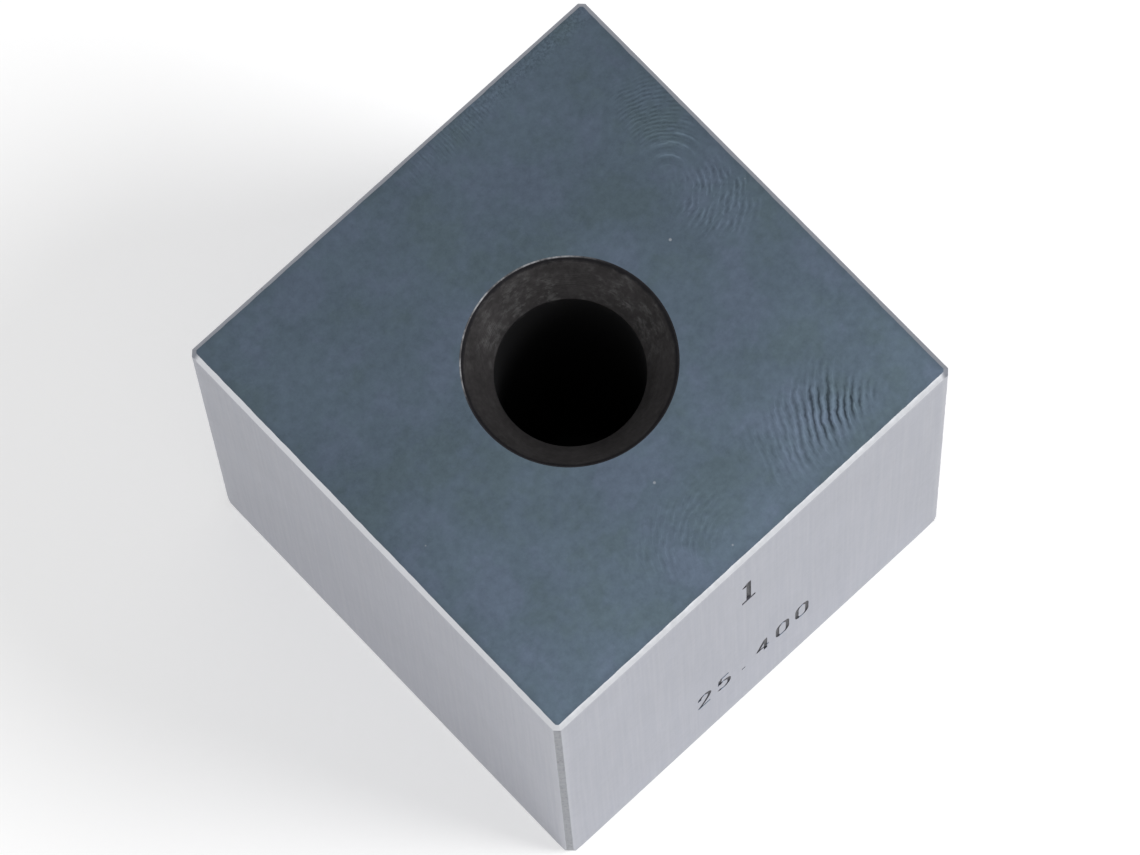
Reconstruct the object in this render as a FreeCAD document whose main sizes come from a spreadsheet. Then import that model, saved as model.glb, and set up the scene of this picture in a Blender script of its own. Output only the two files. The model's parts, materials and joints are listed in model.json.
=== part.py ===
"""Square-form setup block: a hardened steel block, one inch high, with a countersunk tie-rod hole.

The origin is the centre of the lower gauging face. +Z runs up the hole's axis to the upper gauging face,
and X and Y are square to the four ground sides. Lengths are in millimetres, angles in degrees.
"""

import FreeCAD, Part
import Sketcher
import os

# Driving dimensions: alias, value and what it sizes. Each one can be changed by itself.
DIMENSIONS = (
    ("section_side", "24.13", "distance across each pair of ground sides"),
    ("block_height", "25.4", "distance between the two lapped gauging faces"),
    ("bore_diameter", "6.9", "straight wall of the tie-rod hole"),
    ("mouth_diameter", "9.75", "each countersink, where it meets its gauging face"),
    ("countersink_angle", "76", "included angle of each countersink"),
    ("rim_radius", "0.1", "rounding stoned on each countersink's rim"),
    ("upright_chamfer", "0.23", "leg of the chamfer on the four upright edges"),
    ("face_chamfer", "0.21", "leg of the chamfer round each gauging face"),
)

# How far a face or edge may stray and still count as lying in a gauging face or along Z.
TOLERANCE = 1e-4

# Point positions that a sketch constraint names, and the sketch's own origin.
START, END, CENTRE = 1, 2, 3
ORIGIN = (-1, 1)


def make_sheet(doc):
    """The spreadsheet of driving dimensions, one row each: alias, value, note."""
    sheet = doc.addObject("Spreadsheet::Sheet", "dimensions")
    for row, (alias, value, note) in enumerate(DIMENSIONS, start=1):
        sheet.set(f"A{row}", alias)
        sheet.set(f"B{row}", value)
        sheet.setAlias(f"B{row}", alias)
        sheet.set(f"C{row}", note)
    doc.recompute()
    return sheet


def base_plane(body):
    """The body's own XY plane, where the lower gauging face lies."""
    return next(item for item in body.Origin.OriginFeatures if item.Role == "XY_Plane")


def add_level(body, name, height):
    """A datum plane parallel to the gauging faces, at a height given by an expression."""
    level = body.newObject("PartDesign::Plane", name)
    level.AttachmentSupport = [(base_plane(body), "")]
    level.MapMode = "FlatFace"
    level.setExpression("AttachmentOffset.Base.z", height)
    return level


def add_sketch(body, name, plane):
    """An empty sketch lying on one of the body's planes."""
    sketch = body.newObject("Sketcher::SketchObject", name)
    sketch.AttachmentSupport = [(plane, "")]
    sketch.MapMode = "FlatFace"
    return sketch


def draw_square(sketch, side):
    """A square centred on the sketch's origin, its side bound to an expression."""
    corners = [FreeCAD.Vector(x, y, 0) for x, y in ((-1, -1), (1, -1), (1, 1), (-1, 1))]
    ends = corners[1:] + corners[:1]
    front, right, back, left = [
        sketch.addGeometry(Part.LineSegment(start, end), False)
        for start, end in zip(corners, ends)
    ]
    for line, following in ((front, right), (right, back), (back, left), (left, front)):
        sketch.addConstraint(Sketcher.Constraint("Coincident", line, END, following, START))
    for line in (front, back):
        sketch.addConstraint(Sketcher.Constraint("Horizontal", line))
    for line in (right, left):
        sketch.addConstraint(Sketcher.Constraint("Vertical", line))
    sketch.addConstraint(Sketcher.Constraint("Equal", front, right))
    sketch.addConstraint(Sketcher.Constraint("Symmetric", front, START, back, START, *ORIGIN))
    width = sketch.addConstraint(Sketcher.Constraint("DistanceX", front, START, front, END, 2.0))
    sketch.renameConstraint(width, "side")
    sketch.setExpression("Constraints.side", side)


def draw_circle(sketch, diameter):
    """A circle centred on the sketch's origin, its diameter bound to an expression."""
    unit_circle = Part.Circle(FreeCAD.Vector(0, 0, 0), FreeCAD.Vector(0, 0, 1), 1.0)
    circle = sketch.addGeometry(unit_circle, False)
    sketch.addConstraint(Sketcher.Constraint("Coincident", circle, CENTRE, *ORIGIN))
    width = sketch.addConstraint(Sketcher.Constraint("Diameter", circle, 2.0))
    sketch.renameConstraint(width, "diameter")
    sketch.setExpression("Constraints.diameter", diameter)


def require_cut(feature, before):
    """Stops the build if a cutting feature took no steel off the shape before it."""
    if feature.Shape.isNull() or feature.Shape.Volume >= before.Shape.Volume - TOLERANCE:
        raise RuntimeError(f"{feature.Name} cuts nothing from {before.Name}")


def add_blank(body):
    """The squared blank, ground to the section's size and the block's height."""
    sketch = add_sketch(body, "section_sketch", base_plane(body))
    draw_square(sketch, "dimensions.section_side")
    blank = body.newObject("PartDesign::Pad", "blank")
    blank.Profile = sketch
    blank.setExpression("Length", "dimensions.block_height")
    return blank


def add_hole(doc, body, blank):
    """The tie-rod hole, drilled right through and countersunk from the upper gauging face."""
    upper_level = add_level(body, "upper_level", "dimensions.block_height")
    sketch = add_sketch(body, "hole_sketch", upper_level)
    draw_circle(sketch, "dimensions.bore_diameter")
    doc.recompute()
    hole = body.newObject("PartDesign::Hole", "tie_rod_hole")
    hole.Profile = sketch
    doc.recompute()
    hole.ThreadType = "None"
    hole.DepthType = "ThroughAll"
    hole.HoleCutType = "Countersink"
    hole.setExpression("Diameter", "dimensions.bore_diameter")
    hole.setExpression("HoleCutDiameter", "dimensions.mouth_diameter")
    hole.setExpression("HoleCutCountersinkAngle", "dimensions.countersink_angle")
    doc.recompute()
    require_cut(hole, blank)
    return hole


def add_lower_countersink(doc, body, hole):
    """The same hole cut from the lower gauging face too, by a mirror at mid height."""
    middle_level = add_level(body, "middle_level", "dimensions.block_height / 2")
    mirrored = body.newObject("PartDesign::Mirrored", "tie_rod_hole_from_below")
    mirrored.Originals = [hole]
    mirrored.MirrorPlane = (middle_level, [""])
    body.Tip = mirrored
    doc.recompute()
    require_cut(mirrored, hole)
    return mirrored


def is_upright(edge):
    """Whether an edge is straight and runs along Z, where two ground sides meet."""
    is_straight = isinstance(edge.Curve, Part.Line)
    return is_straight and abs(abs(edge.Curve.Direction.z) - 1) < TOLERANCE


def lies_in_gauging_face(edge, height):
    """Whether the whole of an edge lies in the lower or the upper gauging face."""
    box = edge.BoundBox
    is_level = box.ZLength < TOLERANCE
    return is_level and min(abs(box.ZMin), abs(box.ZMin - height)) < TOLERANCE


def is_rim(edge, height):
    """Whether an edge is a countersink's sharp rim."""
    return isinstance(edge.Curve, Part.Circle) and lies_in_gauging_face(edge, height)


def is_face_outline(edge, height):
    """Whether an edge is part of a gauging face's straight outline."""
    return isinstance(edge.Curve, Part.Line) and lies_in_gauging_face(edge, height)


def dress_edges(doc, body, kind, name, before, is_wanted, size_property, size):
    """A fillet or chamfer on the edges of the feature before it that a test picks."""
    numbered_edges = enumerate(before.Shape.Edges, start=1)
    edges = [f"Edge{number}" for number, edge in numbered_edges if is_wanted(edge)]
    dressing = body.newObject(kind, name)
    dressing.Base = (before, edges)
    dressing.setExpression(size_property, size)
    doc.recompute()
    require_cut(dressing, before)
    return dressing


def add_edge_breaks(doc, body, drilled, height):
    """Rounded countersink rims, then chamfers on the upright edges and round the gauging faces."""
    rims = dress_edges(
        doc, body, "PartDesign::Fillet", "stoned_rims", drilled,
        lambda edge: is_rim(edge, height), "Radius", "dimensions.rim_radius",
    )
    uprights = dress_edges(
        doc, body, "PartDesign::Chamfer", "upright_chamfers", rims,
        is_upright, "Size", "dimensions.upright_chamfer",
    )
    return dress_edges(
        doc, body, "PartDesign::Chamfer", "gauging_face_chamfers", uprights,
        lambda edge: is_face_outline(edge, height), "Size", "dimensions.face_chamfer",
    )


def make_setup_block(doc, sheet):
    """The whole block, as one body."""
    body = doc.addObject("PartDesign::Body", "setup_block")
    body.Label = "setup_block"
    body.Placement = FreeCAD.Placement()
    blank = add_blank(body)
    doc.recompute()
    hole = add_hole(doc, body, blank)
    drilled = add_lower_countersink(doc, body, hole)
    body.Tip = add_edge_breaks(doc, body, drilled, sheet.block_height)
    doc.recompute()
    return body


def check(doc, bodies):
    """Stops the build if a feature failed, or a body isn't one valid solid."""
    for item in doc.Objects:
        if "Invalid" in item.State or "Error" in item.State:
            raise RuntimeError(f"{item.Name} failed: {item.State}")
    for body in bodies:
        shape = body.Shape
        if shape.isNull() or not shape.isValid() or len(shape.Solids) != 1:
            raise RuntimeError(f"{body.Label} isn't one valid solid")


def main():
    doc = FreeCAD.newDocument("setup_block_model")
    sheet = make_sheet(doc)
    bodies = [make_setup_block(doc, sheet)]
    check(doc, bodies)
    os.makedirs("parts", exist_ok=True)
    for body in bodies:
        body.Shape.exportStep(f"parts/{body.Label}.step")
        box = body.Shape.BoundBox
        size = f"{box.XLength:.3f} x {box.YLength:.3f} x {box.ZLength:.3f} mm"
        print(f"{body.Label}: {size}, {body.Shape.Volume:.2f} mm3")


main()
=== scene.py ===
"""Machinist's setup block: hardened steel, ground sides, lapped gauging faces.

Run as a script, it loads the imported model, builds the finished block in its
place and sets up the studio round it."""

import json
import math
import random
from collections import namedtuple

import bmesh
import bpy
from mathutils import Matrix, Vector, noise


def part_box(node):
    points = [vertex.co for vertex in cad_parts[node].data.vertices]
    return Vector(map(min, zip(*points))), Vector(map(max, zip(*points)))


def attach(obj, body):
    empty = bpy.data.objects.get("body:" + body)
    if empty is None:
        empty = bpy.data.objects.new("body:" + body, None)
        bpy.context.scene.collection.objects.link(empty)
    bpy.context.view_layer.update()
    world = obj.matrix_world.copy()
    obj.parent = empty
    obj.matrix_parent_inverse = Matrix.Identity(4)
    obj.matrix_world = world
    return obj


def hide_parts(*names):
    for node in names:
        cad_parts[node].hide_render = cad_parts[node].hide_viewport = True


bl_info = {
    "name": "Setup Block",
    "version": (1, 0, 0),
    "blender": (4, 5, 0),
    "location": "3D View > Sidebar > Setup Block",
    "description": "Builds a machinist's setup block and the studio it stands in",
    "category": "Add Mesh",
}

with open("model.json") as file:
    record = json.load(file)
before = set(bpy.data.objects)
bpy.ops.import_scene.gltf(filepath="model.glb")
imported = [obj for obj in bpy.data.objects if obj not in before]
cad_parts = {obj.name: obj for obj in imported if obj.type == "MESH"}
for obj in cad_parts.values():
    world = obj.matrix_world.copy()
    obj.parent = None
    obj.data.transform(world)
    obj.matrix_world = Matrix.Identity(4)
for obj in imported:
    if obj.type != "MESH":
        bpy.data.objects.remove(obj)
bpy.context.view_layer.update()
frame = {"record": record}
CAD_NODE = "setup_block"
BODY = "root"
PIECE = "ground_block"

# The block is worked in millimetres and brought down to metres when it is done.
MM = 0.001
LOW, HIGH = [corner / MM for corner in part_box(CAD_NODE)]
MIDDLE = (LOW + HIGH) / 2
HALF = (HIGH - LOW) / 2
BORE = next(m for m in frame["record"]["mounts"] if m["kind"] == "bore")

# Points nearer than this lie together.
SMALLEST = 1e-4

# Strips kept straight round each flat and round each mouth of the hole.
MARGIN = 0.12
LANDING = 0.3

# The part of the marked side that holds the figures: its width, thickness and height.
PANEL = (9.0, 2.0, 17.0)

# How finely the edges, the hole's round, a mouth's rounding, a countersink and the wall divide.
EDGE_CUTS = 159
BORE_STEPS = 144
RIM_STEPS = 4
CONE_CUTS = 80
WALL_CUTS = 60

# Turns between two faces: past the first an edge is still square, past the second it borders a
# chamfer, and past the third it is drawn sharp.
SQUARE_TURN = math.radians(60)
CHAMFER_TURN = math.radians(15)
SMOOTH_ANGLE = math.radians(38)

# How upright a face's normal is on a gauging face, and on the chamfers round one.
LEVEL_NORMAL = 0.9
LEANING_NORMAL = 0.25

# Hand dressing: the long and short waves of the chamfers' borders and how much each adds, the
# nicks, and how far the wear of a lower corner reaches.
LONG_WAVE, LONG_SHARE = 1.1, 1.4
SHORT_WAVE, SHORT_SHARE = 0.35, 0.6
NICK_SEED = 41
NICK_COUNT = 70
NICK_REACH = (0.08, 0.22)
NICK_DEPTH = (0.01, 0.035)
CORNER_REACH = 0.6

# Chatter of the countersinks' cutter, along the cone.
CHATTER_WAVE = 0.35

GROUND, LAPPED, DRESSED, UPRIGHT, BLACKENED, STRUCK = range(6)

# Strokes of the plain figures, in a cell one wide and one high. A stroke of two
# points is straight, a longer one is a smooth curve, and "loop" closes it.
FIGURES = {
    "1": [[(0.5, 0.02), (0.5, 1.0)], [(0.52, 0.97), (0.24, 0.86)], [(0.16, 0.0), (0.84, 0.0)]],
    "2": [
        [
            (0.04, 0.74), (0.2, 0.95), (0.55, 1.0), (0.9, 0.87),
            (0.86, 0.58), (0.45, 0.26), (0.0, 0.0),
        ],
        [(-0.02, 0.01), (1.0, 0.01)],
    ],
    "4": [[(0.72, 0.0), (0.72, 1.0)], [(0.71, 0.98), (0.01, 0.29)], [(-0.01, 0.31), (1.0, 0.31)]],
    "5": [
        [(0.9, 1.0), (0.16, 1.0)],
        [(0.17, 0.98), (0.09, 0.54)],
        [
            (0.08, 0.56), (0.4, 0.63), (0.82, 0.54), (0.94, 0.3),
            (0.74, 0.05), (0.36, 0.0), (0.02, 0.12),
        ],
    ],
    "0": [[(0.5, 1.0), (0.06, 0.5), (0.5, 0.0), (0.94, 0.5), "loop"]],
    ".": [[(0.5, 0.0), (0.5, 0.07)]],
}

# A row of figures is placed from the middle of the marked side.
FigureRow = namedtuple("FigureRow", "across up cell pitch stroke depth")
SIZE_ROW = FigureRow(across=-0.43, up=6.8, cell=(1.2, 3.05), pitch=1.6, stroke=0.3, depth=0.12)
HEIGHT_ROW = FigureRow(across=-0.16, up=-6.0, cell=(0.72, 1.9), pitch=1.25, stroke=0.24, depth=0.08)


def length(name, description, millimetres):
    """A length property, kept in metres."""
    return bpy.props.FloatProperty(
        name=name, description=description, default=millimetres * MM, unit="LENGTH", precision=5
    )


def colour(name, description, default):
    """A colour property, in scene-linear values."""
    return bpy.props.FloatVectorProperty(
        name=name, description=description, default=default, subtype="COLOR", size=3,
        min=0.0, max=1.0,
    )


class SetupBlockSizes(bpy.types.PropertyGroup):
    """Sizes of the block's edges, hole and figures"""

    upright_chamfer: length("Upright chamfer", "Leg of the chamfer on the four upright edges", 0.23)
    face_chamfer: length("Face chamfer", "Leg of the chamfer round each gauging face", 0.21)
    edge_softness: length("Edge softness", "Rounding where a chamfer meets a flat", 0.015)
    edge_wander: length("Edge wander", "How far the hand-dressed chamfers vary in width", 0.02)
    corner_wear: length("Corner wear", "Extra rounding of the lower corners", 0.2)
    bore_diameter: length("Bore diameter", "Diameter of the tie-rod hole", 2 * BORE["dims"]["r_mm"])
    mouth_diameter: length("Mouth diameter", "Diameter of each countersink at the face", 9.75)
    countersink_angle: bpy.props.FloatProperty(
        name="Countersink angle", description="Included angle of each countersink",
        default=math.radians(76), subtype="ANGLE",
    )
    rim_radius: length("Rim radius", "Rounding of each countersink's mouth", 0.1)
    turning_pitch: length("Turning pitch", "Spacing of the cutter's rings in the countersinks", 0.1)
    turning_depth: length("Turning depth", "Height of those rings", 0.004)
    size_figure: bpy.props.StringProperty(
        name="Size figure", description="Figure struck high on the marked side", default="1"
    )
    height_figures: bpy.props.StringProperty(
        name="Height figures", description="The block's height in millimetres, low on that side",
        default="25.400",
    )


class SetupBlockColours(bpy.types.PropertyGroup):
    """Colours of the block's finishes, with some painted light and shade"""

    ground: colour("Ground steel", "Satin of the four ground sides", (0.376, 0.386, 0.432))
    # The gauging faces' tones are partly the steel's own blue-grey and partly painted reflection:
    # they are darkened to stand in for the dim surroundings the polished faces mirror.
    lapped_tone_and_painted_reflection: colour("Lapped steel", "Main tone of the gauging faces, partly a painted dark reflection", (0.085, 0.115, 0.148))
    lapped_green: colour(
        "Lapped steel, green", "Greener clouds of the gauging faces", (0.08, 0.11, 0.133)
    )
    lapped_violet: colour(
        "Lapped steel, violet", "Bluer clouds of the gauging faces", (0.093, 0.121, 0.163)
    )
    lapped_rim: colour("Lapped steel, rim", "Darker rim of the gauging faces", (0.06, 0.08, 0.1))
    dressed: colour("Dressed edge", "Bright chamfers round the gauging faces", (0.6, 0.61, 0.64))
    # Painted shade: the chamfers at the back take this darker colour, in place of the dimmer light
    # they reflect.
    dressed_painted_shade: colour("Dressed edge, back", "The same, darker at the back as painted shade", (0.23, 0.24, 0.27))
    upright: colour("Upright edge", "Duller chamfers of the upright edges", (0.215, 0.225, 0.25))
    nick: colour("Nick", "Dark floor of nicks in the edges", (0.12, 0.12, 0.13))
    scale: colour("Hardening scale", "Blackened countersinks", (0.045, 0.042, 0.043))
    # Painted shade: a near-black ring just inside each mouth of the hole.
    mouth: colour("Mouth", "Painted shade, just inside each mouth", (0.006, 0.006, 0.009))
    bore: colour("Bore", "Blackened wall of the hole", (0.03, 0.03, 0.032))
    # Lighter rings all round, and painted glints where they are laid on thickly on two sides of
    # each countersink.
    rubbed_rings_and_glints: colour("Rubbed rings", "Lighter rings of the countersinks, also laid on as painted glints", (0.22, 0.22, 0.22))
    figure: colour("Struck figure", "Darkened floor of the figures", (0.04, 0.04, 0.048))


class SetupBlockStudio(bpy.types.PropertyGroup):
    """Camera, light and floor"""

    distance: length("Distance", "From the camera to the block", 355.56)
    azimuth: bpy.props.FloatProperty(
        name="Azimuth", description="Camera's turn round the block, from the marked side",
        default=math.radians(-38.265), subtype="ANGLE",
    )
    elevation: bpy.props.FloatProperty(
        name="Elevation", description="Camera's height above the horizon",
        default=math.radians(74.349), subtype="ANGLE",
    )
    roll: bpy.props.FloatProperty(
        name="Roll", description="Camera's turn about its own axis",
        default=math.radians(-5.06), subtype="ANGLE",
    )
    lens: bpy.props.FloatProperty(
        name="Lens", description="Focal length", default=242.86, unit="CAMERA"
    )
    sky: bpy.props.FloatProperty(
        name="Sky", description="Strength of the soft light from all round", default=0.5
    )
    key: bpy.props.FloatProperty(
        name="Key", description="Power of the large soft lamp in front", default=6.1, unit="POWER"
    )
    floor: colour("Floor", "Plain pale floor", (0.9, 0.9, 0.9))
    floor_painted_shade: colour("Floor in the hole", "Painted shade on the floor under the hole", (0.02, 0.02, 0.02))


# --------------------------------------------------------------------------
# The block's mesh


def bevel(bm, edges, offset, segments=1):
    """A plain bevel of some edges."""
    return bmesh.ops.bevel(
        bm, geom=edges, offset=offset, offset_type="OFFSET", segments=segments,
        profile=0.5, affect="EDGES", material=-1, clamp_overlap=True,
    )


def turned_edges(bm, least):
    """Edges where two faces meet at more than a given angle."""
    return [e for e in bm.edges if e.is_manifold and e.calc_face_angle() > least]


def chamfered_blank(sizes):
    """The square blank, its edges broken and divided, with a narrow margin round each flat."""
    bm = bmesh.new()
    bmesh.ops.create_cube(bm, size=1.0)
    bmesh.ops.scale(bm, vec=2 * HALF, verts=bm.verts)
    bmesh.ops.translate(bm, vec=MIDDLE, verts=bm.verts)
    uprights = [e for e in bm.edges if abs(e.verts[0].co.z - e.verts[1].co.z) > SMALLEST]
    bevel(bm, uprights, sizes.upright_chamfer / MM)
    bevel(bm, turned_edges(bm, SQUARE_TURN), sizes.face_chamfer / MM)
    long_edges = [e for e in bm.edges if e.calc_length() > HALF.x]
    bmesh.ops.subdivide_edges(bm, edges=long_edges, cuts=EDGE_CUTS)
    flats = [f for f in bm.faces if len(f.verts) > 4]
    bmesh.ops.inset_individual(bm, faces=flats, thickness=MARGIN, use_even_offset=True)
    return bm


def edge_nicks():
    """Places, reaches and depths of small nicks along the edges."""
    rng = random.Random(NICK_SEED)
    nicks = []
    for _ in range(NICK_COUNT):
        spot = [rng.choice((-1, 1)) * HALF[axis] for axis in range(3)]
        along = rng.randrange(3)
        spot[along] = rng.uniform(-1, 1) * HALF[along]
        nicks.append((Vector(spot), rng.uniform(*NICK_REACH), rng.uniform(*NICK_DEPTH)))
    return nicks


def wander_edges(bm, sizes):
    """Hand-dressed chamfers: their borders wander within the flats, with a few nicks."""
    nicks = edge_nicks()
    wander, wear = sizes.edge_wander / MM, sizes.corner_wear / MM
    border = max(sizes.upright_chamfer, sizes.face_chamfer) / MM + MARGIN / 2
    for vert in bm.verts:
        place = vert.co - MIDDLE
        planes = [axis for axis in range(3) if HALF[axis] - abs(place[axis]) < SMALLEST]
        if len(planes) != 1:
            continue
        near = [a for a in range(3) if a not in planes and HALF[a] - abs(place[a]) < border]
        for axis in near:
            long = noise.noise(place / LONG_WAVE + Vector((7 * axis, 0, 0)))
            short = noise.noise(place / SHORT_WAVE + Vector((0, 9 * axis, 0)))
            inward = wander * (LONG_SHARE * long + SHORT_SHARE * short)
            for spot, reach, depth in nicks:
                gap = (place - spot).length / reach
                if gap < 3:
                    inward += depth * math.exp(-gap * gap)
            if place.z < 0:
                corner = Vector([math.copysign(HALF[a], place[a]) for a in range(3)])
                gap = (place - corner).length / CORNER_REACH
                inward += wear * math.exp(-gap * gap)
            vert.co[axis] -= math.copysign(inward, place[axis])


def soften_edges(bm, sizes):
    """Takes the sharpness off the borders of the chamfers."""
    bevel(bm, turned_edges(bm, CHAMFER_TURN), sizes.edge_softness / MM, 2)


def hole_section(sizes):
    """Radius and depth of the countersink's section, from its landing to the bore."""
    bore, mouth = sizes.bore_diameter / MM / 2, sizes.mouth_diameter / MM / 2
    slope = sizes.countersink_angle / 2
    rim = sizes.rim_radius / MM
    turn = math.pi / 2 - slope
    tangent = rim * math.tan(turn / 2)
    section = [(mouth + LANDING, 0.0)]
    for step in range(RIM_STEPS + 1):
        lean = turn * step / RIM_STEPS
        section.append((mouth + tangent - rim * math.sin(lean), rim * (1 - math.cos(lean))))
    section.append((bore, (mouth - bore) / math.tan(slope)))
    return section


def turn_rings(verts, sizes):
    """The cutter's rings, as small waves in the section of both countersinks."""
    slope = sizes.countersink_angle / 2
    for vert in verts:
        below = HALF.z - abs(vert.co.z - MIDDLE.z)
        along = below / math.cos(slope)
        chatter = noise.noise(Vector((0.3, 0.7, along / CHATTER_WAVE)))
        ring = math.sin(2 * math.pi * along * MM / sizes.turning_pitch + 3 * chatter)
        height = sizes.turning_depth / MM * ring * (0.6 + chatter)
        vert.co.x -= height * math.cos(slope)
        vert.co.z += height * math.copysign(math.sin(slope), vert.co.z - MIDDLE.z)


def countersunk_hole(bm, sizes):
    """The hole's surface, spun from its section, with a narrow landing round each mouth."""
    section = hole_section(sizes)
    upper = [bm.verts.new((MIDDLE.x + r, MIDDLE.y, HIGH.z - d)) for r, d in section]
    lower = [bm.verts.new((MIDDLE.x + r, MIDDLE.y, LOW.z + d)) for r, d in section]
    verts = upper + lower[::-1]
    edges = [bm.edges.new(pair) for pair in zip(verts, verts[1:])]
    last = len(section) - 1
    cones, wall = [edges[last - 1], edges[last + 1]], [edges[last]]
    cut = bmesh.ops.subdivide_edges(bm, edges=cones, cuts=CONE_CUTS)["geom_inner"]
    turn_rings([v for v in cut if isinstance(v, bmesh.types.BMVert)], sizes)
    bmesh.ops.subdivide_edges(bm, edges=wall, cuts=WALL_CUTS)
    strip = [e for e in bm.edges if e.is_wire]
    points = {v for e in strip for v in e.verts}
    bmesh.ops.spin(
        bm, geom=[*points, *strip], cent=(MIDDLE.x, MIDDLE.y, 0), axis=(0, 0, 1),
        angle=2 * math.pi, steps=BORE_STEPS, use_merge=True,
    )


def on_level(item, axis, level):
    """Whether all of a face or edge lies at one level."""
    return all(abs(v.co[axis] - level) < SMALLEST for v in item.verts)


def open_flat(bm, axis, level):
    """Takes out the middle of a flat, and gives the edges left round the opening."""
    flat = max((f for f in bm.faces if on_level(f, axis, level)), key=lambda f: f.calc_area())
    rim = list(flat.edges)
    bmesh.ops.delete(bm, geom=[flat], context="FACES_ONLY")
    return rim


def fill_flat(bm, rim, axis, level):
    """Fills a flat between the rim of its opening and the open edge of what stands in it."""
    inner = [e for e in bm.edges if e.is_boundary and e not in rim and on_level(e, axis, level)]
    normal = Vector((0, 0, 0))
    normal[axis] = math.copysign(1.0, level - MIDDLE[axis])
    bmesh.ops.triangle_fill(bm, edges=rim + inner, use_beauty=True, normal=normal)


def fit_hole(bm, sizes):
    """Opens both gauging faces for the hole, and fills them up to it."""
    rims = {level: open_flat(bm, 2, level) for level in (LOW.z, HIGH.z)}
    countersunk_hole(bm, sizes)
    for level, rim in rims.items():
        fill_flat(bm, rim, 2, level)


def weld(mesh):
    """Merges the points of a mesh that lie together, and turns its faces outward."""
    bm = bmesh.new()
    bm.from_mesh(mesh)
    bmesh.ops.remove_doubles(bm, verts=bm.verts, dist=2 * SMALLEST)
    bmesh.ops.recalc_face_normals(bm, faces=bm.faces)
    bm.to_mesh(mesh)
    bm.free()


def stroke_tube(stroke, corner, row):
    """A tube along one stroke, for a shallow groove in the marked side."""
    points = [p for p in stroke if p != "loop"]
    curve = bpy.data.curves.new("figure_stroke", "CURVE")
    curve.dimensions = "3D"
    curve.bevel_depth = row.stroke / 2
    curve.bevel_resolution = 4
    curve.resolution_u = 8
    curve.use_fill_caps = True
    spline = curve.splines.new("BEZIER")
    spline.bezier_points.add(len(points) - 1)
    spline.use_cyclic_u = "loop" in stroke
    stand = LOW.y - (row.stroke / 2 - row.depth)
    handle = "AUTO" if len(points) > 2 else "VECTOR"
    for knot, (across, up) in zip(spline.bezier_points, points):
        knot.co = (corner.x + across * row.cell[0], stand, corner.z + up * row.cell[1])
        knot.handle_left_type = knot.handle_right_type = handle
    line = bpy.data.objects.new("figure_stroke", curve)
    bpy.context.scene.collection.objects.link(line)
    bpy.context.view_layer.update()
    mesh = bpy.data.meshes.new_from_object(line)
    weld(mesh)
    tube = bpy.data.objects.new("figure_cutter", mesh)
    bpy.context.scene.collection.objects.link(tube)
    bpy.data.objects.remove(line)
    return tube


def figure_cutters(text, row):
    """Cutters for a row of figures."""
    cutters = []
    for place, letter in enumerate(text):
        offset = row.pitch * (place - (len(text) - 1) / 2) - row.cell[0] / 2
        corner = MIDDLE + Vector((row.across + offset, 0, row.up - row.cell[1] / 2))
        for stroke in FIGURES[letter]:
            cutters.append(stroke_tube(stroke, corner, row))
    return cutters


def figure_panel(sizes):
    """The part of the marked side that holds the figures, with their grooves cut."""
    bm = bmesh.new()
    bmesh.ops.create_cube(bm, size=1.0)
    bmesh.ops.scale(bm, vec=PANEL, verts=bm.verts)
    bmesh.ops.translate(bm, vec=(MIDDLE.x, LOW.y + PANEL[1] / 2, MIDDLE.z), verts=bm.verts)
    panel = bpy.data.objects.new("figure_panel", bpy.data.meshes.new("figure_panel"))
    bm.to_mesh(panel.data)
    bm.free()
    bpy.context.scene.collection.objects.link(panel)
    cutters = figure_cutters(sizes.size_figure, SIZE_ROW)
    cutters += figure_cutters(sizes.height_figures, HEIGHT_ROW)
    for cutter in cutters:
        cut = panel.modifiers.new("groove", "BOOLEAN")
        cut.operation = "DIFFERENCE"
        cut.solver = "EXACT"
        cut.object = cutter
    graph = bpy.context.evaluated_depsgraph_get()
    mesh = bpy.data.meshes.new_from_object(panel.evaluated_get(graph))
    weld(mesh)
    for used in [panel, *cutters]:
        bpy.data.objects.remove(used)
    return mesh


def fit_panel(bm, sizes):
    """Sets the panel of figures into the marked side."""
    rim = open_flat(bm, 1, LOW.y)
    known = set(bm.faces)
    mesh = figure_panel(sizes)
    bm.from_mesh(mesh)
    bpy.data.meshes.remove(mesh)
    inside = LOW.y + PANEL[1] / 2
    back = [f for f in bm.faces if f not in known and any(v.co.y > inside for v in f.verts)]
    bmesh.ops.delete(bm, geom=back, context="FACES")
    fill_flat(bm, rim, 1, LOW.y)


def finish_of(face, sizes):
    """Which finish a face has, from where it lies and how it points."""
    centre = face.calc_center_median() - MIDDLE
    border = 2 * max(sizes.upright_chamfer, sizes.face_chamfer) / MM
    if on_level(face, 2, LOW.z) or on_level(face, 2, HIGH.z):
        return LAPPED
    if centre.xy.length > HALF.x and abs(face.normal.z) > LEVEL_NORMAL:
        return LAPPED
    if centre.xy.length < sizes.mouth_diameter / MM / 2 + LANDING:
        return BLACKENED
    if any(on_level(face, axis, level) for axis in (0, 1) for level in (LOW[axis], HIGH[axis])):
        return GROUND
    if sorted(HALF[axis] - abs(centre[axis]) for axis in range(3))[1] > border:
        return STRUCK
    return DRESSED if abs(face.normal.z) > LEANING_NORMAL else UPRIGHT


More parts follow.
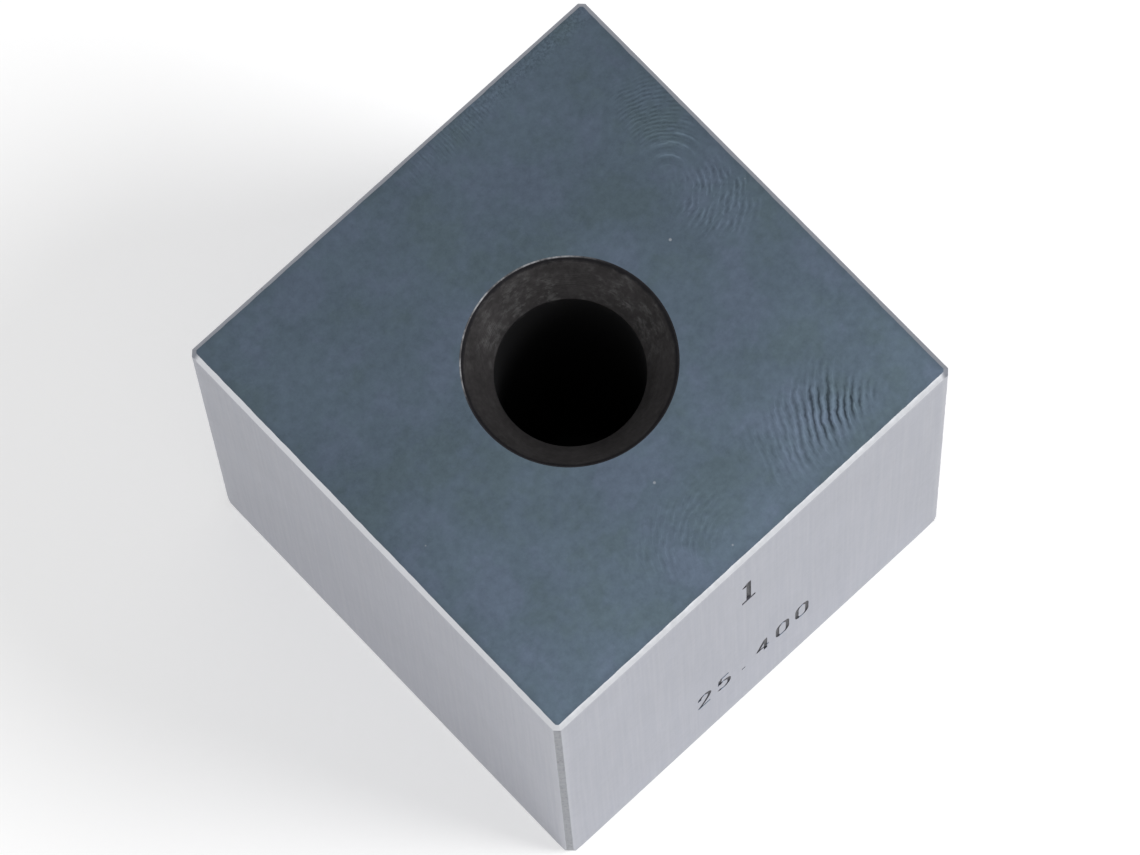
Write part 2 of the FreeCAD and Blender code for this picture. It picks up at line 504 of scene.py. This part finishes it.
def block_mesh(block, sizes):
    """Works the whole block: edges, figures, hole and finishes."""
    bm = chamfered_blank(sizes)
    wander_edges(bm, sizes)
    soften_edges(bm, sizes)
    fit_panel(bm, sizes)
    fit_hole(bm, sizes)
    bmesh.ops.recalc_face_normals(bm, faces=bm.faces)
    loose = sum(not e.is_manifold for e in bm.edges)
    if loose:
        raise RuntimeError(f"the block's mesh isn't closed: {loose} loose edges")
    for face in bm.faces:
        face.material_index = finish_of(face, sizes)
        face.smooth = True
    bmesh.ops.scale(bm, vec=(MM, MM, MM), verts=bm.verts)
    bm.to_mesh(block.data)
    bm.free()
    block.data.set_sharp_from_angle(angle=SMOOTH_ANGLE)
    block.data.update()


# --------------------------------------------------------------------------
# Finishes, with some painted light and shade


class Wiring:
    """Adds nodes to a tree. A value that is a socket is linked, any other is set."""

    def __init__(self, tree):
        self.tree = tree

    def put(self, socket, value):
        if isinstance(value, bpy.types.NodeSocket):
            self.tree.links.new(value, socket)
        else:
            socket.default_value = value

    def node(self, kind, inputs=None, **settings):
        made = self.tree.nodes.new(kind)
        for name, value in settings.items():
            setattr(made, name, value)
        for key, value in (inputs or {}).items():
            self.put(made.inputs[key], value)
        return made

    def math(self, operation, a, b=0.0):
        return self.node("ShaderNodeMath", {0: a, 1: b}, operation=operation).outputs[0]

    def vector(self, operation, a, b=(0.0, 0.0, 0.0)):
        made = self.node("ShaderNodeVectorMath", {0: a, 1: b}, operation=operation)
        return made.outputs["Value" if operation == "LENGTH" else "Vector"]

    def parts(self, vector):
        return self.node("ShaderNodeSeparateXYZ", {0: vector}).outputs

    def join(self, x, y, z):
        return self.node("ShaderNodeCombineXYZ", {0: x, 1: y, 2: z}).outputs[0]

    def length(self, x, y):
        """Length of a flat vector."""
        return self.vector("LENGTH", self.join(x, y, 0.0))

    def centred(self, value, amount):
        """A value about one half, brought about zero and scaled."""
        return self.math("MULTIPLY", self.math("SUBTRACT", value, 0.5), amount)

    def toned(self, tone, shade):
        """A colour made lighter or darker by a shade about one."""
        grey = self.node("ShaderNodeCombineColor", {0: shade, 1: shade, 2: shade}).outputs[0]
        return self.mix(1.0, tone, grey, "MULTIPLY")

    def seen(self):
        """1 for what the camera sees straight, or in metal or glass."""
        path = self.node("ShaderNodeLightPath").outputs
        mirrored = self.math("MAXIMUM", path["Is Glossy Ray"], path["Is Transmission Ray"])
        return self.math("MAXIMUM", path["Is Camera Ray"], mirrored)

    def step(self, value, start, end, low=0.0, high=1.0):
        """A smooth step of value from start to end, giving low to high."""
        made = self.node(
            "ShaderNodeMapRange",
            {"Value": value, "From Min": start, "From Max": end, "To Min": low, "To Max": high},
            interpolation_type="SMOOTHSTEP",
        )
        return made.outputs["Result"]

    def mix(self, factor, a, b, blend="MIX"):
        """A mix of two colours. The colour sockets of a Mix node come after its other kinds."""
        made = self.node("ShaderNodeMix", data_type="RGBA", blend_type=blend, clamp_factor=True)
        for socket, value in zip((made.inputs[0], made.inputs[6], made.inputs[7]), (factor, a, b)):
            self.put(socket, value)
        return made.outputs[2]

    def noise(self, vector, scale, detail, roughness):
        made = self.node(
            "ShaderNodeTexNoise",
            {"Vector": vector, "Scale": scale, "Detail": detail, "Roughness": roughness},
        )
        return made.outputs["Fac"]

    def position(self):
        """Object coordinates in millimetres, from the block's middle."""
        here = self.node("ShaderNodeTexCoord").outputs["Object"]
        return self.node(
            "ShaderNodeMapping",
            {"Vector": here, "Location": -MIDDLE, "Scale": (1 / MM, 1 / MM, 1 / MM)},
        ).outputs["Vector"]

    def effect(self, name, inputs):
        """One of the groups below, with its own values."""
        made = self.node("ShaderNodeGroup", node_tree=bpy.data.node_groups[name])
        for key, value in inputs.items():
            self.put(made.inputs[key], value)
        return made.outputs


def effect_group(name, inputs, outputs):
    """A shader node group with named inputs and outputs."""
    tree = bpy.data.node_groups.new(name, "ShaderNodeTree")
    for label, kind, default in inputs:
        socket = tree.interface.new_socket(name=label, in_out="INPUT", socket_type=kind)
        socket.default_value = default
    for label, kind in outputs:
        tree.interface.new_socket(name=label, in_out="OUTPUT", socket_type=kind)
    wiring = Wiring(tree)
    start = wiring.node("NodeGroupInput").outputs
    end = wiring.node("NodeGroupOutput").inputs
    return wiring, start, end


FLOAT, VECTOR = "NodeSocketFloat", "NodeSocketVector"
ORIGIN = (0.0, 0.0, 0.0)


def make_clouds_group():
    """Soft clouds and fine grain in a steel surface."""
    w, start, end = effect_group(
        "steel_clouds",
        [("Position", VECTOR, ORIGIN), ("Cloud Size", FLOAT, 4.0), ("Grain Size", FLOAT, 0.5),
         ("Cloud Amount", FLOAT, 0.1), ("Grain Amount", FLOAT, 0.05)],
        [("Shade", FLOAT), ("Grain", FLOAT)],
    )
    cloud = w.noise(start["Position"], w.math("DIVIDE", 1.0, start["Cloud Size"]), 3.0, 0.55)
    grain = w.noise(start["Position"], w.math("DIVIDE", 1.0, start["Grain Size"]), 3.0, 0.6)
    cloud_part = w.centred(cloud, start["Cloud Amount"])
    grain_part = w.centred(grain, start["Grain Amount"])
    w.put(end["Shade"], w.math("ADD", 1.0, w.math("ADD", cloud_part, grain_part)))
    w.put(end["Grain"], grain)


def make_arcs_group():
    """Short dashes along concentric arcs, as a lap leaves them, within one patch."""
    w, start, end = effect_group(
        "lapping_arcs",
        [("Position", VECTOR, ORIGIN), ("Arc Centre", VECTOR, ORIGIN), ("Spacing", FLOAT, 0.35),
         ("Dash Length", FLOAT, 1.0), ("Wobble", FLOAT, 0.25), ("Patch Centre", VECTOR, ORIGIN),
         ("Patch Reach", VECTOR, (2.0, 2.0, 1.0)), ("Share", FLOAT, 0.5), ("Dark", FLOAT, 0.3),
         ("Light", FLOAT, 0.2)],
        [("Marks", FLOAT)],
    )
    drift = w.noise(start["Position"], 0.8, 3.0, 0.65)
    parts = w.parts(w.vector("SUBTRACT", start["Position"], start["Arc Centre"]))
    radius = w.length(parts["X"], parts["Y"])
    wobble = w.centred(drift, start["Wobble"])
    rings = w.math("DIVIDE", w.math("ADD", radius, wobble), start["Spacing"])
    wave = w.math("SINE", w.math("MULTIPLY", rings, 2 * math.pi))
    angle = w.math("ARCTAN2", parts["Y"], parts["X"])
    arc = w.math("DIVIDE", w.math("MULTIPLY", angle, radius), start["Dash Length"])
    row = w.math("FLOOR", w.math("ADD", rings, 0.25))
    cell = w.join(w.math("MULTIPLY", row, 5.37), arc, 0.0)
    dash = w.noise(cell, 1.0, 2.0, 0.6)
    limit = w.math("SUBTRACT", 1.0, start["Share"])
    shown = w.step(dash, limit, w.math("ADD", limit, 0.16))
    dark = w.math("MULTIPLY", w.step(wave, 0.1, 1.0), start["Dark"])
    light = w.math("MULTIPLY", w.step(wave, -0.1, -1.0), start["Light"])
    profile = w.math("MULTIPLY", w.math("SUBTRACT", light, dark), shown)
    offset = w.vector("SUBTRACT", start["Position"], start["Patch Centre"])
    spread = w.parts(w.vector("DIVIDE", offset, start["Patch Reach"]))
    ragged = w.math("ADD", w.length(spread["X"], spread["Y"]), w.centred(drift, 1.1))
    w.put(end["Marks"], w.math("MULTIPLY", profile, w.step(ragged, 1.15, 0.35)))


def make_specks_group():
    """Sparse small specks; a larger Sparsity leaves fewer."""
    w, start, end = effect_group(
        "steel_specks",
        [("Position", VECTOR, ORIGIN), ("Cell Size", FLOAT, 1.0), ("Speck Size", FLOAT, 0.08),
         ("Sparsity", FLOAT, 0.9)],
        [("Specks", FLOAT)],
    )
    scale = w.math("DIVIDE", 1.0, start["Cell Size"])
    cells = w.node("ShaderNodeTexVoronoi", {"Vector": start["Position"], "Scale": scale}).outputs
    chance = w.node("ShaderNodeSeparateColor", {0: cells["Color"]}).outputs
    chosen = w.math("GREATER_THAN", chance["Red"], start["Sparsity"])
    size = w.math("MULTIPLY", w.math("MULTIPLY", start["Speck Size"], scale),
                  w.math("ADD", 0.5, chance["Green"]))
    dot = w.step(cells["Distance"], size, w.math("MULTIPLY", size, 0.4))
    w.put(end["Specks"], w.math("MULTIPLY", dot, chosen))


def make_turning_group():
    """Broken fine streaks running round the hole, and soft smudges."""
    w, start, end = effect_group(
        "turning_streaks",
        [("Position", VECTOR, ORIGIN), ("Pitch", FLOAT, 0.1), ("Streak Length", FLOAT, 0.6)],
        [("Streaks", FLOAT), ("Smudge", FLOAT)],
    )
    parts = w.parts(start["Position"])
    radius = w.length(parts["X"], parts["Y"])
    turn = w.math("DIVIDE", w.math("DIVIDE", 4.2, start["Streak Length"]), radius)
    round_x = w.math("MULTIPLY", parts["X"], turn)
    round_y = w.math("MULTIPLY", parts["Y"], turn)
    slide = w.math("SUBTRACT", radius, w.math("MULTIPLY", w.math("ABSOLUTE", parts["Z"]), 0.5))
    across = w.math("DIVIDE", slide, start["Pitch"])
    streak = w.noise(w.join(round_x, round_y, across), 1.0, 3.0, 0.7)
    w.put(end["Streaks"], w.step(streak, 0.42, 0.72))
    w.put(end["Smudge"], w.noise(start["Position"], 0.9, 4.0, 0.65))


def make_grinding_group():
    """Fine long upright lines left by the grinding wheel."""
    w, start, end = effect_group(
        "grinding_lines",
        [("Position", VECTOR, ORIGIN), ("Pitch", FLOAT, 0.12), ("Run", FLOAT, 9.0)],
        [("Lines", FLOAT)],
    )
    parts = w.parts(start["Position"])
    run = w.math("DIVIDE", parts["Z"], start["Run"])
    across_x = w.math("DIVIDE", parts["X"], start["Pitch"])
    across_y = w.math("DIVIDE", parts["Y"], start["Pitch"])
    w.put(end["Lines"], w.noise(w.join(across_x, across_y, run), 1.0, 2.0, 0.6))


def make_border_group():
    """How near a point of a flat is to the flat's border: 1 at it, 0 beyond Reach."""
    w, start, end = effect_group(
        "near_border",
        [("Position", VECTOR, ORIGIN), ("Reach", FLOAT, 0.3), ("Raggedness", FLOAT, 0.2)],
        [("Border", FLOAT)],
    )
    away = w.vector("ABSOLUTE", start["Position"])
    left = w.vector("SUBTRACT", tuple(HALF), away)
    parts = w.parts(left)
    lesser = w.math("MINIMUM", parts["X"], parts["Y"])
    greater = w.math("MAXIMUM", parts["X"], parts["Y"])
    second = w.math("MAXIMUM", lesser, w.math("MINIMUM", greater, parts["Z"]))
    rough = w.noise(start["Position"], 2.2, 2.0, 0.6)
    ragged = w.math("ADD", second, w.centred(rough, start["Raggedness"]))
    w.put(end["Border"], w.step(ragged, start["Reach"], 0.0))


def steel_material(name, metallic=1.0):
    """A steel material, what its nodes are wired with, and its shader."""
    material = bpy.data.materials.new(name)
    material.use_nodes = True
    wiring = Wiring(material.node_tree)
    shader = material.node_tree.nodes["Principled BSDF"]
    shader.inputs["Metallic"].default_value = metallic
    return material, wiring, shader


def rgba(values):
    """A colour property as a colour socket takes it."""
    return (*values, 1.0)


def ground_steel(colours):
    """Satin of the ground sides."""
    material, w, shader = steel_material("ground_steel")
    here = w.position()
    clouds = w.effect("steel_clouds", {
        "Position": here, "Cloud Size": 6.0, "Grain Size": 0.35,
        "Cloud Amount": 0.14, "Grain Amount": 0.14})
    lines = w.effect("grinding_lines", {"Position": here, "Pitch": 0.16, "Run": 8.0})["Lines"]
    border = w.effect("near_border", {"Position": here, "Reach": 0.7, "Raggedness": 0.4})["Border"]
    shade = w.math("MULTIPLY", clouds["Shade"], w.step(lines, 0.2, 0.8, 0.965, 1.035))
    tone = w.toned(rgba(colours.ground), shade)
    tone = w.mix(w.math("MULTIPLY", border, 0.3), tone, rgba(colours.dressed))
    pits = w.effect("steel_specks", {
        "Position": here, "Cell Size": 2.6, "Speck Size": 0.06, "Sparsity": 0.9})["Specks"]
    tone = w.mix(w.math("MULTIPLY", pits, 0.5), tone, rgba(colours.figure))
    w.put(shader.inputs["Base Color"], tone)
    w.put(shader.inputs["Roughness"], w.step(lines, 0.2, 0.8, 0.36, 0.48))
    bump = w.node("ShaderNodeBump", {"Strength": 0.08, "Distance": 0.00001, "Height": lines})
    w.put(shader.inputs["Normal"], bump.outputs["Normal"])
    return material


# Patches of lapping marks on the gauging faces, from the block's middle. The marks are dashes
# on arcs, and share says how much of the arcs shows.
LappingPatch = namedtuple("LappingPatch", "arcs spacing dash wobble middle reach share dark light")
LAPPING_PATCHES = (
    LappingPatch(
        arcs=(11.5, -13.1, 0), spacing=0.36, dash=1.1, wobble=0.5,
        middle=(6.9, -9.7, 0), reach=(2.1, 1.4, 1), share=0.68, dark=0.5, light=0.28,
    ),
    LappingPatch(
        arcs=(11.5, -13.1, 0), spacing=0.36, dash=0.8, wobble=0.6,
        middle=(5.8, -9.4, 0), reach=(3.6, 2.4, 1), share=0.6, dark=0.2, light=0.2,
    ),
    LappingPatch(
        arcs=(9.2, 3.33, 0), spacing=0.54, dash=1.2, wobble=0.15,
        middle=(10.4, 4.2, 0), reach=(1.4, 1.2, 1), share=0.6, dark=0.12, light=0.45,
    ),
    LappingPatch(
        arcs=(9.2, 3.33, 0), spacing=0.2, dash=0.3, wobble=0.3,
        middle=(10.7, 5.9, 0), reach=(1.6, 2.2, 1), share=0.6, dark=0.2, light=0.25,
    ),
    LappingPatch(
        arcs=(7.7, 3.5, 0), spacing=0.3, dash=0.45, wobble=0.5,
        middle=(9.9, 1.0, 0), reach=(2.1, 2.1, 1), share=0.58, dark=0.2, light=0.32,
    ),
    LappingPatch(
        arcs=(0.0, -12.0, 0), spacing=0.33, dash=0.5, wobble=0.5,
        middle=(-1.8, -9.2, 0), reach=(3.2, 2.0, 1), share=0.56, dark=0.1, light=0.14,
    ),
    LappingPatch(
        arcs=(40.0, 11.4, 0), spacing=0.2, dash=0.4, wobble=0.3,
        middle=(3.6, 11.3, 0), reach=(3.6, 0.8, 1), share=0.55, dark=0.16, light=0.2,
    ),
)


def lapping_marks(w, here):
    """All the patches of lapping marks together."""
    total = 0.0
    for patch in LAPPING_PATCHES:
        marks = w.effect("lapping_arcs", {
            "Position": here, "Arc Centre": patch.arcs, "Spacing": patch.spacing,
            "Dash Length": patch.dash, "Wobble": patch.wobble, "Patch Centre": patch.middle,
            "Patch Reach": patch.reach, "Share": patch.share, "Dark": patch.dark,
            "Light": patch.light})["Marks"]
        total = w.math("ADD", marks, total)
    return total


def lapped_steel(colours):
    """Dull blue-grey of the gauging faces, partly painted dark reflection, with the lap's own
    marks.
    """
    material, w, shader = steel_material("lapped_steel")
    here = w.position()
    parts = w.parts(here)
    clouds = w.effect("steel_clouds", {
        "Position": here, "Cloud Size": 4.5, "Grain Size": 0.4,
        "Cloud Amount": 0.3, "Grain Amount": 0.42})
    hue = w.noise(w.vector("ADD", here, (31.0, 17.0, 5.0)), 0.3, 4.0, 0.65)
    # Painted reflection: these dark tones stand in partly for the dim surroundings the faces
    # mirror.
    tone = w.mix(w.step(hue, 0.36, 0.5), rgba(colours.lapped_green), rgba(colours.lapped_tone_and_painted_reflection))
    tone = w.mix(w.step(hue, 0.5, 0.64), tone, rgba(colours.lapped_violet))
    # Painted light: the gauging faces grow paler towards the front, standing in for the brighter
    # reflection there.
    forward = w.math("DIVIDE", w.math("SUBTRACT", HALF.y, parts["Y"]), 2 * HALF.y)
    painted_front_light = w.math("ADD", 0.9, w.math("MULTIPLY", w.math("POWER", forward, 2.2), 0.45))
    rough_zone = w.math("MULTIPLY", w.step(parts["Y"], 10.8, 11.5), w.step(parts["X"], 2.0, 6.5))
    fine = w.noise(here, 7.0, 2.0, 0.7)
    mottle = w.math("MULTIPLY", w.centred(fine, 1.0), w.math("ADD", 0.22, rough_zone))
    marks = lapping_marks(w, here)
    shade = w.math("ADD", w.math("ADD", clouds["Shade"], marks), mottle)
    tone = w.toned(tone, w.math("MULTIPLY", shade, painted_front_light))
    border = w.effect("near_border", {"Position": here, "Reach": 0.65, "Raggedness": 0.25})
    tone = w.mix(w.math("MULTIPLY", border["Border"], 0.4), tone, rgba(colours.lapped_rim))
    band = w.math("MULTIPLY", w.step(parts["Y"], 10.7, 11.3), w.step(parts["X"], -3.0, -1.0))
    specks = w.effect("steel_specks", {
        "Position": here, "Cell Size": 0.55, "Speck Size": 0.07,
        "Sparsity": w.step(band, 0.0, 1.0, 0.992, 0.86)})["Specks"]
    tone = w.mix(w.math("MULTIPLY", specks, 0.3), tone, rgba(colours.dressed))
    w.put(shader.inputs["Base Color"], tone)
    w.put(shader.inputs["Roughness"], w.step(clouds["Grain"], 0.2, 0.8, 0.38, 0.5))
    relief = w.math("ADD", marks, w.math("MULTIPLY", mottle, 0.5))
    bump = w.node("ShaderNodeBump", {"Strength": 0.15, "Distance": 0.00002, "Height": relief})
    w.put(shader.inputs["Normal"], bump.outputs["Normal"])
    return material


def edge_steel(name, front, back, nick, clouding, nicking):
    """Bare steel of a chamfer, dressed by hand along its length, with painted shade at the back."""
    material, w, shader = steel_material(name)
    here = w.position()
    parts = w.parts(here)
    clouds = w.effect("steel_clouds", {
        "Position": here, "Cloud Size": 2.0, "Grain Size": 0.3,
        "Cloud Amount": clouding, "Grain Amount": clouding})
    # Painted shade: chamfers near the back sides take the darker back colour.
    painted_shade_x = w.step(parts["X"], HALF.x - 0.6, HALF.x - 0.3)
    painted_shade_y = w.step(parts["Y"], HALF.y - 0.6, HALF.y - 0.3)
    tone = w.mix(w.math("MAXIMUM", painted_shade_x, painted_shade_y), rgba(front), rgba(back))
    tone = w.toned(tone, clouds["Shade"])
    nicks = w.effect("steel_specks", {"Position": here, **nicking})["Specks"]
    w.put(shader.inputs["Base Color"], w.mix(nicks, tone, rgba(nick)))
    w.put(shader.inputs["Roughness"], w.step(clouds["Grain"], 0.2, 0.8, 0.3, 0.42))
    return material


def blackened_steel(colours):
    """Hardening scale left in the hole, the cutter's rings worn lighter, with painted glints, shade
    and highlight.
    """
    material, w, shader = steel_material("blackened_bore", metallic=0.8)
    here = w.position()
    parts = w.parts(here)
    clouds = w.effect("steel_clouds", {
        "Position": here, "Cloud Size": 1.4, "Grain Size": 0.22,
        "Cloud Amount": 0.9, "Grain Amount": 0.9})
    turning = w.effect("turning_streaks", {"Position": here, "Pitch": 0.075, "Streak Length": 0.6})
    radius = w.length(parts["X"], parts["Y"])
    depth = w.math("SUBTRACT", HALF.z, w.math("ABSOLUTE", parts["Z"]))
    side_x = w.math("DIVIDE", parts["X"], radius)
    side_y = w.math("DIVIDE", parts["Y"], radius)
    # Painted glints: the rings gather on the two sides of each countersink where they would catch
    # the lamps.
    rubbed_rings_and_glints = w.math("MAXIMUM", w.step(side_y, 0.6, 1.0), w.step(side_x, 0.7, 1.0))
    amount = w.math("ADD", 0.08, w.math("MULTIPLY", rubbed_rings_and_glints, w.step(depth, 0.4, 1.8, 0.3, 0.6)))
    amount = w.math("MULTIPLY", amount, w.step(turning["Smudge"], 0.34, 0.62))
    amount = w.math("MULTIPLY", amount, w.step(depth, 2.6, 1.8))
    streaks = w.math("MULTIPLY", turning["Streaks"], amount)
    tone = w.toned(rgba(colours.scale), clouds["Shade"])
    tone = w.mix(w.step(depth, 1.7, 2.2), tone, rgba(colours.bore))
    tone = w.mix(streaks, tone, rgba(colours.rubbed_rings_and_glints))
    # Painted shade: a near-black ring of ragged depth just inside each mouth.
    ring = w.math("ADD", depth, w.centred(turning["Smudge"], 0.25))
    tone = w.mix(w.step(ring, 0.26, 0.1, 0.0, 0.75), tone, rgba(colours.mouth))
    # Painted highlight: bright bare steel on the rounding of each mouth, on one side only and
    # broken along it.
    highlight_side = w.step(w.math("ADD", side_y, w.math("MULTIPLY", side_x, -0.1)), 0.3, 0.8)
    highlight_breaks = w.step(turning["Smudge"], 0.4, 0.62, 0.08, 0.45)
    painted_lip_highlight = w.math("MULTIPLY", w.math("MULTIPLY", highlight_side, highlight_breaks), w.step(depth, 0.04, 0.015))
    tone = w.mix(painted_lip_highlight, tone, rgba(colours.dressed))
    w.put(shader.inputs["Base Color"], tone)
    w.put(shader.inputs["Roughness"], w.step(streaks, 0.0, 0.5, 0.55, 0.38))
    return material


def struck_steel(colours):
    """Darkened floor of the struck figures."""
    material, w, shader = steel_material("struck_figure", metallic=0.7)
    here = w.position()
    clouds = w.effect("steel_clouds", {
        "Position": here, "Cloud Size": 0.8, "Grain Size": 0.15,
        "Cloud Amount": 0.5, "Grain Amount": 0.5})
    w.put(shader.inputs["Base Color"], w.toned(rgba(colours.figure), clouds["Shade"]))
    w.put(shader.inputs["Roughness"], w.step(clouds["Grain"], 0.2, 0.8, 0.4, 0.55))
    return material


# --------------------------------------------------------------------------
# The studio

WHITE = (1.0, 1.0, 1.0, 1.0)

# The floor's half side, the glow that brings it up to white, and the radius under the hole, in
# millimetres, where it has no glow and its colour is painted shade.
FLOOR_REACH = 3.0
FLOOR_GLOW = 0.35
UNLIT_RADIUS = HALF.x / 2

KEY_PLACE = Vector((0.55, -0.65, 0.75))
KEY_SIZE = 0.5

# What the camera looks at, from the block's middle and in millimetres.
AIM = Vector((0.12, 0.53, 0.0))
SENSOR_WIDTH = 36.0


def studio_floor(studio):
    """A plain pale floor that shows white, but for the block's soft shadow and painted shade under
    the hole.
    """
    bm = bmesh.new()
    bmesh.ops.create_grid(bm, x_segments=1, y_segments=1, size=FLOOR_REACH)
    mesh = bpy.data.meshes.new("studio_floor")
    bm.to_mesh(mesh)
    bm.free()
    floor = bpy.data.objects.new("studio_floor", mesh)
    bpy.context.scene.collection.objects.link(floor)
    material = bpy.data.materials.new("studio_floor")
    material.use_nodes = True
    tree = material.node_tree
    tree.nodes.clear()
    w = Wiring(tree)
    parts = w.parts(w.position())
    clear = w.math("GREATER_THAN", w.length(parts["X"], parts["Y"]), UNLIT_RADIUS)
    # Painted shade: the floor under the hole takes a near-black colour.
    tone = w.mix(clear, rgba(studio.floor_painted_shade), rgba(studio.floor))
    diffuse = w.node("ShaderNodeBsdfDiffuse", {"Color": tone}).outputs[0]
    strength = w.math("MULTIPLY", w.math("MULTIPLY", w.seen(), clear), FLOOR_GLOW)
    glow = w.node("ShaderNodeEmission", {"Color": WHITE, "Strength": strength})
    both = w.node("ShaderNodeAddShader", {0: diffuse, 1: glow.outputs[0]}).outputs[0]
    w.node("ShaderNodeOutputMaterial", {"Surface": both})
    mesh.materials.append(material)


def studio_light(studio):
    """Even soft light from all round, and one large soft lamp in front to the right."""
    world = bpy.data.worlds.new("studio_sky")
    world.use_nodes = True
    bpy.context.scene.world = world
    tree = world.node_tree
    tree.nodes.clear()
    w = Wiring(tree)
    strength = w.step(w.seen(), 0.0, 1.0, studio.sky, 1.0)
    sky = w.node("ShaderNodeBackground", {"Color": WHITE, "Strength": strength}).outputs[0]
    w.node("ShaderNodeOutputWorld", {"Surface": sky})
    lamp = bpy.data.lights.new("key_lamp", "AREA")
    lamp.shape = "DISK"
    lamp.size = KEY_SIZE
    lamp.energy = studio.key
    key = bpy.data.objects.new("key_lamp", lamp)
    key.location = KEY_PLACE
    key.rotation_mode = "QUATERNION"
    key.rotation_quaternion = (MIDDLE * MM - KEY_PLACE).to_track_quat("-Z", "Y")
    bpy.context.scene.collection.objects.link(key)


def studio_camera(studio):
    """The camera, high over the corner between the marked side and the plain one."""
    data = bpy.data.cameras.new("camera")
    data.lens = studio.lens
    data.sensor_width = SENSOR_WIDTH
    data.sensor_fit = "HORIZONTAL"
    data.clip_start, data.clip_end = 0.01, 10.0
    camera = bpy.data.objects.new("camera", data)
    bpy.context.scene.collection.objects.link(camera)
    flat = math.cos(studio.elevation)
    back = Vector((
        math.sin(studio.azimuth) * flat,
        -math.cos(studio.azimuth) * flat,
        math.sin(studio.elevation),
    ))
    aim = (MIDDLE + AIM) * MM
    turn = (-back).to_track_quat("-Z", "Y").to_matrix().to_4x4()
    roll = Matrix.Rotation(studio.roll, 4, "Z")
    camera.matrix_world = Matrix.Translation(aim + back * studio.distance) @ turn @ roll
    bpy.context.scene.camera = camera


# --------------------------------------------------------------------------
# Operators and panel


class SETUPBLOCK_OT_block(bpy.types.Operator):
    """Builds the setup block with its finishes, in place of the plain one"""

    bl_idname = "setupblock.block"
    bl_label = "Build Block"

    def execute(self, context):
        scene = context.scene
        block = bpy.data.objects.new(PIECE, bpy.data.meshes.new(PIECE))
        scene.collection.objects.link(block)
        block_mesh(block, scene.setup_block_sizes)
        colours = scene.setup_block_colours
        make_clouds_group()
        make_arcs_group()
        make_specks_group()
        make_turning_group()
        make_grinding_group()
        make_border_group()
        for material in (
            ground_steel(colours),
            lapped_steel(colours),
            edge_steel(
                "dressed_edge", colours.dressed, colours.dressed_painted_shade, colours.nick, clouding=0.12,
                nicking={"Cell Size": 0.45, "Speck Size": 0.05, "Sparsity": 0.9},
            ),
            edge_steel(
                "upright_edge", colours.upright, colours.upright, colours.nick, clouding=0.3,
                nicking={"Cell Size": 0.13, "Speck Size": 0.06, "Sparsity": 0.5},
            ),
            blackened_steel(colours),
            struck_steel(colours),
        ):
            block.data.materials.append(material)
        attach(block, BODY)
        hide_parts(CAD_NODE)
        return {"FINISHED"}


class SETUPBLOCK_OT_studio(bpy.types.Operator):
    """Builds the floor, the light and the camera"""

    bl_idname = "setupblock.studio"
    bl_label = "Build Studio"

    def execute(self, context):
        studio = context.scene.setup_block_studio
        studio_floor(studio)
        studio_light(studio)
        studio_camera(studio)
        context.scene.view_settings.view_transform = "Standard"
        return {"FINISHED"}


class SETUPBLOCK_PT_panel(bpy.types.Panel):
    """Lists what the setup block is built from"""

    bl_idname = "SETUPBLOCK_PT_panel"
    bl_label = "Setup Block"
    bl_space_type = "VIEW_3D"
    bl_region_type = "UI"
    bl_category = "Setup Block"

    def draw(self, context):
        scene = context.scene
        for operator, groups in (
            (SETUPBLOCK_OT_block, (scene.setup_block_sizes, scene.setup_block_colours)),
            (SETUPBLOCK_OT_studio, (scene.setup_block_studio,)),
        ):
            box = self.layout.box()
            box.operator(operator.bl_idname)
            for group in groups:
                for name in group.__annotations__:
                    box.prop(group, name)


CLASSES = (
    SetupBlockSizes,
    SetupBlockColours,
    SetupBlockStudio,
    SETUPBLOCK_OT_block,
    SETUPBLOCK_OT_studio,
    SETUPBLOCK_PT_panel,
)


def register():
    for item in CLASSES:
        bpy.utils.register_class(item)
    scene = bpy.types.Scene
    scene.setup_block_sizes = bpy.props.PointerProperty(type=SetupBlockSizes)
    scene.setup_block_colours = bpy.props.PointerProperty(type=SetupBlockColours)
    scene.setup_block_studio = bpy.props.PointerProperty(type=SetupBlockStudio)


def unregister():
    scene = bpy.types.Scene
    del scene.setup_block_studio
    del scene.setup_block_colours
    del scene.setup_block_sizes
    for item in reversed(CLASSES):
        bpy.utils.unregister_class(item)


def main():
    register()
    bpy.ops.setupblock.block()
    bpy.ops.setupblock.studio()


if __name__ == "__main__":
    main()
